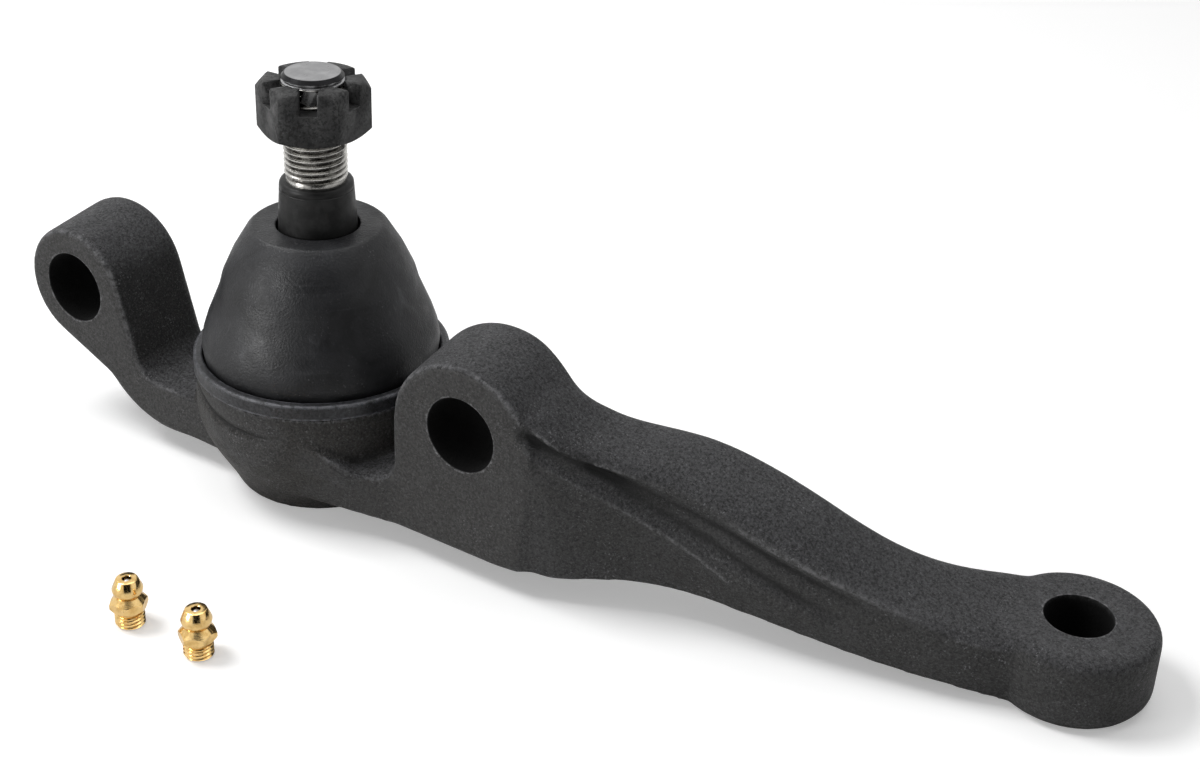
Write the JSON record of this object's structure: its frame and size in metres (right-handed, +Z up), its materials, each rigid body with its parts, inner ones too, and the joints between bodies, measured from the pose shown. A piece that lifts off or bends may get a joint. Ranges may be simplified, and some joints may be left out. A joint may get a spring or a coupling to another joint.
{
  "type": "suspension ball joint with steering arm",
  "caption": "Forged steering arm with a booted ball joint: two bolt lugs, a tapered tie-rod eye, a tapered stud with castle nut, and loose grease fittings.",
  "frame": {"origin": "on the housing axis, at the outer end of the grease port, in the plane the bowl and the eye stand on", "axes": "+X along the two bolt lugs towards the eye, +Y away from the machined lug faces, +Z up the stud"},
  "size_m": [0.2778, 0.1187, 0.1012],
  "materials": {
    "forging": "black shot-blast forging",
    "rubber": "satin black rubber",
    "stud_steel": "machined steel, dark taper",
    "black_steel": "black oxide",
    "bearing_steel": "ground steel",
    "brass": "polished brass"
  },
  "bodies": {
    "arm": {"steering_arm": "forging", "cover_plate": "black_steel", "spring_washer": "bearing_steel", "pressure_seat": "bearing_steel", "upper_bearing": "bearing_steel", "boot_ring": "black_steel"},
    "seal": {"boot": "rubber"},
    "swivel": {"half_ball": "bearing_steel"},
    "stud": {"ball_stud": "stud_steel"},
    "nut": {"castle_nut": "black_steel"},
    "fitting_1": {"grease_fitting_1": "brass", "check_spring_1": "bearing_steel"},
    "fitting_1_ball": {"check_ball_1": "bearing_steel"},
    "fitting_2": {"grease_fitting_2": "brass", "check_spring_2": "bearing_steel"},
    "fitting_2_ball": {"check_ball_2": "bearing_steel"}
  },
  "joints": [
    {"name": "stud_heading", "type": "hinge", "parent": "arm", "child": "seal", "pos_m": [0, 0, 0.0205], "axis": [0, 0, 1], "continuous": true},
    {"name": "stud_tilt", "type": "hinge", "parent": "seal", "child": "swivel", "pos_m": [0, 0, 0.0205], "axis": [0, 1, 0], "range_deg": [-22, 22], "deforming": ["boot"]},
    {"name": "stud_spin", "type": "hinge", "parent": "swivel", "child": "stud", "pos_m": [0, 0, 0.0205], "axis": [0, 0, 1], "continuous": true},
    {"name": "nut_travel", "type": "slide", "parent": "stud", "child": "nut", "axis": [0, 0, 1], "range_m": [-0.009, 0.016]},
    {"name": "fitting_1_lift", "type": "slide", "parent": "arm", "child": "fitting_1", "axis": [0, 0, 1], "range_m": [0, 0.03]},
    {"name": "check_ball_1_press", "type": "slide", "parent": "fitting_1", "child": "fitting_1_ball", "axis": [0, 0, 1], "range_m": [-0.0008, 0], "stiffness_N_per_m": 60, "springref_m": 0.0006, "deforming": ["check_spring_1"]},
    {"name": "fitting_2_lift", "type": "slide", "parent": "arm", "child": "fitting_2", "axis": [0, 0, 1], "range_m": [0, 0.03]},
    {"name": "check_ball_2_press", "type": "slide", "parent": "fitting_2", "child": "fitting_2_ball", "axis": [0, 0, 1], "range_m": [-0.0008, 0], "stiffness_N_per_m": 60, "springref_m": 0.0006, "deforming": ["check_spring_2"]}
  ]
}
